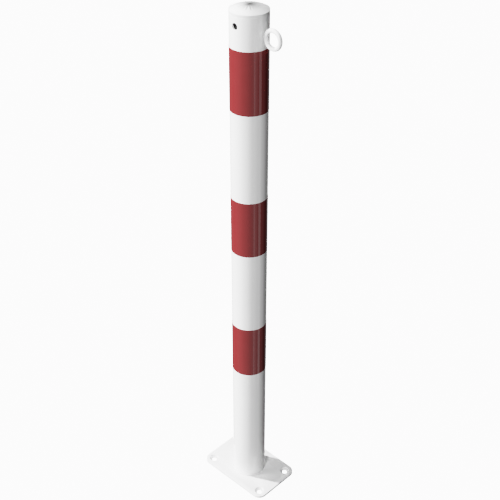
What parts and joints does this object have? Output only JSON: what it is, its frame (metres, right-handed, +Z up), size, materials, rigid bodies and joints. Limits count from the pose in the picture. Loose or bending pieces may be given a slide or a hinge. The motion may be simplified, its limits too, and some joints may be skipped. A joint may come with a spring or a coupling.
{
  "type": "barrier post",
  "caption": "Bolt-down steel barrier post: round tube on a drilled plate, with red reflective bands, a domed press-in cap and a ring eye for a chain.",
  "frame": {"origin": "bottom centre of the base plate, on the tube's axis", "axes": "+Z up the tube; +X along the plate's long side, towards the chain eye; -Y towards the spare eye hole"},
  "size_m": [0.15, 0.1, 0.9155],
  "materials": {
    "white_powder_coat": "glossy white powder coat on steel",
    "red_reflective_film": "smooth glossy red film",
    "white_cap_plastic": "moulded white plastic, satin gloss",
    "zinc_plated_steel": "bright zinc plate"
  },
  "bodies": {
    "post": {"base_plate": "white_powder_coat", "base_weld": "white_powder_coat", "post_tube": "white_powder_coat", "red_band_lower": "red_reflective_film", "red_band_middle": "red_reflective_film", "red_band_upper": "red_reflective_film", "eye_saddle_washer": "zinc_plated_steel"},
    "cap": {"end_cap": "white_cap_plastic"},
    "eye": {"chain_eye": "white_powder_coat", "eye_spring_washer": "zinc_plated_steel", "eye_nut": "zinc_plated_steel"}
  },
  "joints": [
    {"name": "cap_lift", "type": "slide", "parent": "post", "child": "cap", "axis": [0, 0, 1], "range_m": [0, 0.03]},
    {"name": "eye_turn", "type": "hinge", "parent": "post", "child": "eye", "pos_m": [0.03, 0, 0.8745], "axis": [1, 0, 0], "range_deg": [-90, 90]}
  ]
}
